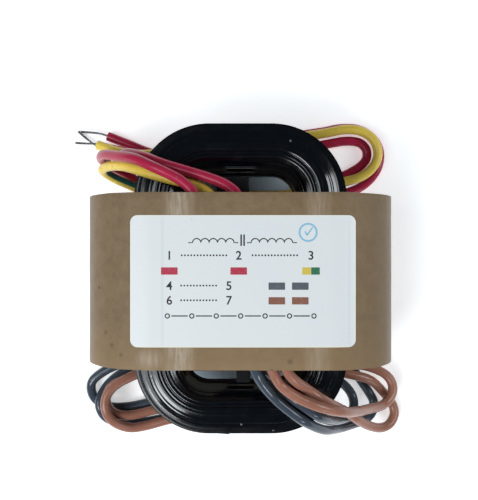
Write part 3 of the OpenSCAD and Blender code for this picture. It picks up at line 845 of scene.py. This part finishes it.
for vertex in kraft_band.data.vertices:
    vertex.co = settle_board(vertex.co.copy())
board_wall = kraft_band.modifiers.new("board_wall", "SOLIDIFY")
board_wall.thickness = BOARD_T
board_wall.offset = -1
cut_edge = kraft_band.modifiers.new("cut_edge", "BEVEL")
cut_edge.width = CUT_EDGE_EASE
cut_edge.segments = 2
cut_edge.limit_method = "ANGLE"
cut_edge.angle_limit = math.radians(60)
for modifier in (board_wall.name, cut_edge.name):
    bpy.ops.object.modifier_apply(modifier=modifier)
smooth_by_angle(kraft_band, SHEET_SHARP_DEG)

KRAFT_BROWN = (0.245, 0.165, 0.088)
KRAFT_DARK = (0.195, 0.127, 0.065)
KRAFT_PALE = (0.50, 0.405, 0.305)
KRAFT_END_HIGHLIGHT = (0.33, 0.30, 0.27)
KRAFT_YELLOW = (0.30, 0.19, 0.092)
FIBRE_PALE = (0.40, 0.33, 0.235)
SPOT_DARK = (0.06, 0.042, 0.028)
# Painted sheen: pale highlight stripes along the board and a pale patch at its lower left: place,
# reach, core and strength
SHEEN_STRIPES = (
    ((-12.6, 0, 32), (3.8, 70, 7), 0.2, 1.0),
    ((15.8, 0, 32), (3.4, 70, 7), 0.1, 0.6),
    ((-18.6, -16, 31.5), (3.6, 2.6, 4), 0.1, 0.9),
)
# Stains: place and radius in millimetres
STAINS = (
    ((-26.9, -13.4, 29), 0.7),
    ((-28.3, -10.9, 28), 0.6),
    ((-24.8, -15.3, 30), 0.6),
    ((10.1, -16.5, 31.8), 0.8),
)
PALER_LOW_FROM, PALER_LOW_TO = -8 * MM, -17 * MM
PAINTED_SHADE_FROM, PAINTED_SHADE_TO = 17 * MM, 31 * MM
END_HIGHLIGHT_FROM, END_HIGHLIGHT_TO = 31 * MM, 33.6 * MM
STAIN_DEPTH_MM = 3
STAIN_STRENGTH = 0.45
kraft_board, tree, shader = new_material("kraft_board", Specular_IOR_Level=0.35)
on_board = place(tree)
mottle = grain(tree, on_board, 420, 5, 0.65)
colour = tint(tree, ramp(tree, mottle, 0.35, 0.68), KRAFT_BROWN, KRAFT_DARK)
stretch = shader_node(tree, "Mapping", {"Vector": on_board, "Scale": (0.35, 1.6, 1.0)}).outputs[0]
fibres = grain(tree, stretch, 2300, 3, 0.7)
colour = tint(tree, ramp(tree, fibres, 0.60, 0.80, 0, 0.45), colour, FIBRE_PALE)
colour = tint(tree, ramp(tree, fibres, 0.40, 0.22, 0, 0.35), colour, SPOT_DARK)
# Painted sheen: the board is lightened to a pale tone along the stripes and patch, broken into
# streaks
painted_sheen = times(tree, strongest_spot(tree, SHEEN_STRIPES), ramp(tree, mottle, 0.3, 0.7, 0.5, 1))
sheen_streak_place = shader_node(tree, "Mapping", {"Vector": on_board, "Scale": (2.4, 0.3, 1.0)}).outputs[0]
painted_sheen = times(tree, painted_sheen, ramp(tree, grain(tree, sheen_streak_place, 900, 3), 0.35, 0.62, 0.45, 1.1))
board_x, board_y, _ = shader_node(tree, "SeparateXYZ", {0: on_board}).outputs
# The board turns paler and yellower towards its edge at negative y
colour = tint(tree, ramp(tree, board_y, PALER_LOW_FROM, PALER_LOW_TO, 0, 0.55), colour, KRAFT_YELLOW)
# Painted shade: the board darkens towards its right-hand end
colour = tint(tree, ramp(tree, board_x, PAINTED_SHADE_FROM, PAINTED_SHADE_TO, 0, 0.5), colour, KRAFT_DARK)
colour = tint(tree, painted_sheen, colour, KRAFT_PALE)
# Painted highlight: the band's round ends are greyed and lightened towards their outer edge
outward = maths(tree, "ABSOLUTE", board_x)
colour = tint(tree, ramp(tree, outward, END_HIGHLIGHT_FROM, END_HIGHLIGHT_TO, 0, 0.5), colour, KRAFT_END_HIGHLIGHT)
for centre_mm, radius_mm in STAINS:
    stain = spot_mask(tree, centre_mm, (radius_mm, radius_mm, STAIN_DEPTH_MM), 0.2)
    colour = tint(tree, times(tree, stain, STAIN_STRENGTH), colour, SPOT_DARK)
spots = effect(tree, speck_group, Scale=330, Radius=0.13, Share=0.09)
colour = tint(tree, times(tree, spots, 0.75), colour, SPOT_DARK)
feed(shader, "Base Color", colour)
feed(shader, "Roughness", ramp(tree, fibres, 0.3, 0.7, 0.5, 0.68))
bump(shader, maths(tree, "ADD", mottle, fibres), 0.25, 0.08 * MM)
kraft_band.data.materials.append(kraft_board)
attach(kraft_band, "root")
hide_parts("board_band")

# Label. Coated white paper, stuck on the front of the band and bent down over its round ends.
# Its print is a plain wiring key: lead numbers, dotted rules and the colours of the leads.
LABEL_WIDTH = 46.4 * MM
LABEL_HEIGHT = 27.1 * MM
LABEL_SHIFT = 0.5 * MM
LABEL_CORNER = 1.5 * MM
LABEL_GLUE = 0.02 * MM
LABEL_T = 0.1 * MM
LABEL_BENDS = 12


def front_height(x, above):
    """Height of a sheet laid on the band's front, that far above the board."""
    past = max(abs(x) - LEG_X, 0)
    return MID_HEIGHT + math.sqrt((BAND_RADIUS + above) ** 2 - past**2)


start_piece()
bpy.ops.mesh.primitive_plane_add(size=1, location=(LABEL_SHIFT, 0, 0))
paper_label = bpy.context.object
paper_label.name = "paper_label"
paper_label.scale = (LABEL_WIDTH, LABEL_HEIGHT, 1)
bpy.ops.object.transform_apply()
select_in_edit(paper_label, "VERT", lambda vertex: True)
bpy.ops.mesh.bevel(offset=LABEL_CORNER, segments=8, affect="VERTICES")
bend_reach = LABEL_WIDTH / 2 + LABEL_SHIFT - LEG_X
for step in range(LABEL_BENDS):
    for side in (-1, 1):
        fold_x = side * (LEG_X + step * bend_reach / LABEL_BENDS)
        cut_through((fold_x, 0, 0), (1, 0, 0))
leave_edit()
for vertex in paper_label.data.vertices:
    vertex.co.z = front_height(vertex.co.x, LABEL_GLUE)
paper_sheet = paper_label.modifiers.new("paper_sheet", "SOLIDIFY")
paper_sheet.thickness = LABEL_T
paper_sheet.offset = 1
bpy.ops.object.modifier_apply(modifier=paper_sheet.name)
smooth_by_angle(paper_label, SHEET_SHARP_DEG)

PAPER_WHITE = (0.805, 0.825, 0.83)
PAPER_WARM = (0.86, 0.86, 0.83)
PAPER_GREY = (0.62, 0.66, 0.69)
PAPER_RIM = (0.88, 0.85, 0.76)
PAPER_RIM_IN, PAPER_RIM_OUT = 0.45 * MM, 0.15 * MM
# Where the paper creased over the band's round ends, each with painted shade along it: place,
# reach, core and strength
SHADED_CREASES = (
    ((-16, 0, 32), (0.5, 40, 9), 0.1, 1.0),
    ((22.3, 0, 32), (0.4, 40, 9), 0.1, 1.0),
)
label_paper, tree, shader = new_material("label_paper", Roughness=0.38, Specular_IOR_Level=0.4)
on_paper = place(tree)
cloud = grain(tree, on_paper, 55, 3)
colour = tint(tree, ramp(tree, cloud, 0.3, 0.7, 0, 0.5), PAPER_WHITE, PAPER_WARM)
creases_and_shade = strongest_spot(tree, SHADED_CREASES)
# Painted shade: the paper greys along its creases
colour = tint(tree, times(tree, creases_and_shade, 0.35), colour, PAPER_GREY)
dust = effect(tree, speck_group, Scale=700, Radius=0.12, Share=0.02)
colour = tint(tree, dust, colour, PAPER_GREY)
paper_axes = shader_node(tree, "SeparateXYZ", {0: on_paper})
rims = []
for axis, middle, width in zip(paper_axes.outputs, (LABEL_SHIFT, 0), (LABEL_WIDTH, LABEL_HEIGHT)):
    from_middle = maths(tree, "ABSOLUTE", maths(tree, "SUBTRACT", axis, middle))
    rims.append(ramp(tree, from_middle, width / 2 - PAPER_RIM_IN, width / 2 - PAPER_RIM_OUT))
colour = tint(tree, maths(tree, "MAXIMUM", *rims), colour, PAPER_RIM)
feed(shader, "Base Color", colour)
bump(shader, maths(tree, "SUBTRACT", grain(tree, on_paper, 1500, 2), creases_and_shade), 0.12, 0.06 * MM)
paper_label.data.materials.append(label_paper)
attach(paper_label, "root")
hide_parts("label")

INK_T = 0.012 * MM
DIGIT_SIZE = 2.5 * MM
STROKE_SPREAD = 0.04 * MM
STROKE_STEPS = 6
BAR_EASE = 0.12 * MM
RING_SIDES = 40
ARCH_STEPS = 12
print_height = front_height(0, LABEL_GLUE + LABEL_T) - INK_T / 2
print_parts = []


def ink(name, colour):
    """Printing ink: even colour, slightly broken by the paper's grain."""
    material, tree, shader = new_material(name, Roughness=0.45)
    thin = ramp(tree, grain(tree, place(tree), 3000, 2), 0.6, 0.75, 0, 0.22)
    feed(shader, "Base Color", tint(tree, thin, colour, PAPER_WHITE))
    return material


black_ink = ink("black_ink", (0.018, 0.019, 0.024))
blue_ink = ink("blue_ink", (0.26, 0.55, 0.74))
SWATCH_COLOURS = {
    "red": (0.50, 0.03, 0.07),
    "yellow": (0.74, 0.55, 0.09),
    "green": (0.03, 0.17, 0.09),
    "grey": (0.10, 0.115, 0.135),
    "brown": (0.27, 0.11, 0.07),
}
swatch_inks = {name: ink(name + "_ink", colour) for name, colour in SWATCH_COLOURS.items()}


def finish_print(piece, material):
    """Closes the mesh of one printed mark and gives it its ink."""
    take_up(piece)
    bpy.ops.object.transform_apply()
    close_up_mesh()
    piece.data.materials.append(material)
    print_parts.append(piece)


def print_figures(words, x_mm, y_mm):
    """Plain figures or a row of dots, printed flat on the label."""
    start_piece()
    bpy.ops.object.text_add(location=(x_mm * MM, y_mm * MM, print_height))
    figures = bpy.context.object.data
    figures.body = words
    figures.size = DIGIT_SIZE
    figures.align_x = figures.align_y = "CENTER"
    figures.extrude = INK_T
    figures.offset = STROKE_SPREAD
    figures.resolution_u = STROKE_STEPS
    bpy.ops.object.convert(target="MESH")
    finish_print(bpy.context.object, black_ink)


def print_bar(x_mm, y_mm, wide_mm, high_mm, material, turn=0.0):
    """A filled bar with slightly eased corners."""
    start_piece()
    bpy.ops.mesh.primitive_cube_add(
        size=1,
        location=(x_mm * MM, y_mm * MM, print_height),
        rotation=(0, 0, turn),
        scale=(wide_mm * MM, high_mm * MM, 2 * INK_T),
    )
    bpy.ops.object.transform_apply()
    bar = bpy.context.object

    def stands_up(edge):
        a, b = (bar.data.vertices[i].co for i in edge.vertices)
        return abs(a.z - b.z) > INK_T

    select_in_edit(bar, "EDGE", stands_up)
    bpy.ops.mesh.bevel(offset=BAR_EASE, segments=2, affect="EDGES")
    leave_edit()
    finish_print(bar, material)


def print_ring(x_mm, y_mm, radius_mm, line_mm, material):
    """An open ring."""
    start_piece()
    bpy.ops.mesh.primitive_cylinder_add(
        vertices=RING_SIDES,
        radius=radius_mm * MM,
        depth=2 * INK_T,
        location=(x_mm * MM, y_mm * MM, print_height),
    )
    bpy.ops.object.transform_apply()
    ring = bpy.context.object
    select_in_edit(ring, "FACE", lambda face: abs(face.normal.z) > 0.9)
    bpy.ops.mesh.inset(thickness=line_mm * MM, use_individual=True)
    bpy.ops.mesh.bridge_edge_loops()
    leave_edit()
    finish_print(ring, material)


def print_coil(x_mm, y_mm, bumps, radius_mm, line_mm):
    """A row of half rings, the plain sign for a winding."""
    line = []
    for index in range(bumps):
        middle = x_mm + (2 * index + 1 - bumps) * radius_mm
        for step in range(ARCH_STEPS + 1):
            turn = math.pi * (1 - step / ARCH_STEPS)
            arch = (middle + radius_mm * math.cos(turn), y_mm + radius_mm * math.sin(turn), 0)
            line.append(Vector(arch) * MM)
    way_out = Vector((radius_mm * MM, 0, 0))
    line = [line[0] - way_out, *line, line[-1] + way_out]
    coil = round_wire("coil_sign", [line], line_mm / 2 * MM, STRAND_SIDES_HALF)
    for vertex in coil.data.vertices:
        vertex.co.z = print_height + vertex.co.z * 2 * INK_T / (line_mm * MM)
    finish_print(coil, black_ink)


# Rows of the print from the top, and places and sizes in them, in millimetres
SIGN_Y, INPUT_Y, INPUT_SWATCH_Y, GREY_Y, BROWN_Y, CHAIN_Y = 8.4, 5.2, 2.1, -1.0, -4.0, -7.1
INPUT_X = (-14.6, -0.4, 14.4)
OUTPUT_X = (-14.6, -2.4)
SWATCH = (3.4, 1.5)
HALF_SWATCH = (1.78, 1.5)
CHAIN_PITCH = 5
DOT = "\u00b7"
for coil_x in (-5.6, 6.4):
    print_coil(coil_x, SIGN_Y - 0.5, 5, 0.85, 0.32)
for bar_x in (0.1, 0.7):
    print_bar(bar_x, SIGN_Y, 0.32, 2.4, black_ink)
for terminal in range(7):
    print_ring(-15 + CHAIN_PITCH * terminal, CHAIN_Y, 0.55, 0.24, black_ink)
    if terminal:
        print_bar(-17.5 + CHAIN_PITCH * terminal, CHAIN_Y, 3.4, 0.25, black_ink)
for figure, figure_x in zip("123", INPUT_X):
    print_figures(figure, figure_x, INPUT_Y)
for dots_x in (-7.5, 7.0):
    print_figures(DOT * 15, dots_x, INPUT_Y)
for swatch_x in INPUT_X[:2]:
    print_bar(swatch_x, INPUT_SWATCH_Y, *SWATCH, swatch_inks["red"])
print_bar(13.49, INPUT_SWATCH_Y, *HALF_SWATCH, swatch_inks["yellow"])
print_bar(15.31, INPUT_SWATCH_Y, *HALF_SWATCH, swatch_inks["green"])
for row_y, (first, second), colour_name in ((GREY_Y, "45", "grey"), (BROWN_Y, "67", "brown")):
    print_figures(first, OUTPUT_X[0], row_y)
    print_figures(DOT * 12, -8.6, row_y)
    print_figures(second, OUTPUT_X[1], row_y)
    for swatch_x in (7.4, 12.2):
        print_bar(swatch_x, row_y, *SWATCH, swatch_inks[colour_name])
# A pen's tick in a ring
print_ring(13.8, 10.0, 1.95, 0.38, blue_ink)
print_bar(13.4, 9.8, 0.3, 1.0, blue_ink, math.radians(35))
print_bar(14.2, 10.3, 0.3, 1.9, blue_ink, math.radians(-35))

start_piece()
for part in print_parts:
    part.select_set(True)
take_up(print_parts[0])
bpy.ops.object.join()
label_print = bpy.context.object
label_print.name = "label_print"
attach(label_print, "root")

# Floor, light and camera. The part lies on a white table under four soft lamps: a large one at
# the left, and smaller ones in front, at the right and low in front. The camera looks straight
# down on the part's front.
FLOOR_HALF = 3.0
FLOOR_DROP = 0.02 * MM
FLOOR_GLOW = 0.47
FLOOR_WHITES = ((0.92, 0.92, 0.925), (0.93, 0.93, 0.935))
# Painted shadow: under the part the table's glow is taken away and its colour turned a darker
# blue-grey
PAINTED_SHADOW_TINT = (0.48, 0.60, 0.68)
PAINTED_SHADOW_REACH_MM = (27, 35, 10)
start_piece()
bpy.ops.mesh.primitive_plane_add(size=2 * FLOOR_HALF, location=(0, 0, -FLOOR_DROP))
table_top = bpy.context.object
table_top.name = "table_top"
white_table, tree, shader = new_material("white_table", Roughness=0.6, Emission_Strength=FLOOR_GLOW)
# Painted shadow under the part: no glow there, and a darker blue-grey colour
painted_shadow = spot_mask(tree, (0, 0, 0), PAINTED_SHADOW_REACH_MM, 0.8)
feed(shader, "Emission Color", tint(tree, painted_shadow, (1, 1, 1), (0, 0, 0)))
colour = tint(tree, grain(tree, place(tree), 3, 2), *FLOOR_WHITES)
feed(shader, "Base Color", tint(tree, painted_shadow, colour, PAINTED_SHADOW_TINT))
table_top.data.materials.append(white_table)

SKY_COLOUR = (0.6, 0.8, 1, 1)
SKY_STRENGTH = 0.06
scene = bpy.context.scene
studio = bpy.data.worlds.new("studio")
studio.use_nodes = True
sky = studio.node_tree.nodes["Background"].inputs
sky["Color"].default_value = SKY_COLOUR
sky["Strength"].default_value = SKY_STRENGTH
scene.world = studio

LAMP_TINT = (0.92, 0.97, 1)
# Each lamp's name, place and size in metres, and power in watts
LAMPS = (
    ("left_lamp", (-0.29, -0.105, 0.42), (0.43, 0.4), 1.6),
    ("front_lamp", (-0.21, -0.25, 0.4), (0.18, 0.14), 0.75),
    ("right_lamp", (0.37, 0.06, 0.3), (0.24, 0.16), 0.8),
    ("low_lamp", (0.31, -0.44, 0.28), (0.2, 0.09), 0.4),
)
for lamp_name, place_m, size_m, power_w in LAMPS:
    light = bpy.data.lights.new(lamp_name, "AREA")
    light.shape = "RECTANGLE"
    light.size, light.size_y = size_m
    light.energy = power_w
    light.color = LAMP_TINT
    lamp = bpy.data.objects.new(lamp_name, light)
    lamp.location = place_m
    to_part = Vector((0, 0, MID_HEIGHT)) - Vector(place_m)
    lamp.rotation_euler = to_part.to_track_quat("-Z", "Y").to_euler()
    scene.collection.objects.link(lamp)

CAMERA_PLACE = (-0.34 * MM, 6.4 * MM, 177 * MM)
CAMERA_LENS_MM = 51.05
CAMERA_SENSOR_MM = 36
CAMERA_NEAR = 10 * MM
camera_data = bpy.data.cameras.new("camera")
camera_data.sensor_fit = "VERTICAL"
camera_data.sensor_height = CAMERA_SENSOR_MM
camera_data.lens = CAMERA_LENS_MM
camera_data.clip_start = CAMERA_NEAR
camera = bpy.data.objects.new("camera", camera_data)
camera.location = CAMERA_PLACE
scene.collection.objects.link(camera)
scene.camera = camera
scene.view_settings.view_transform = "Standard"
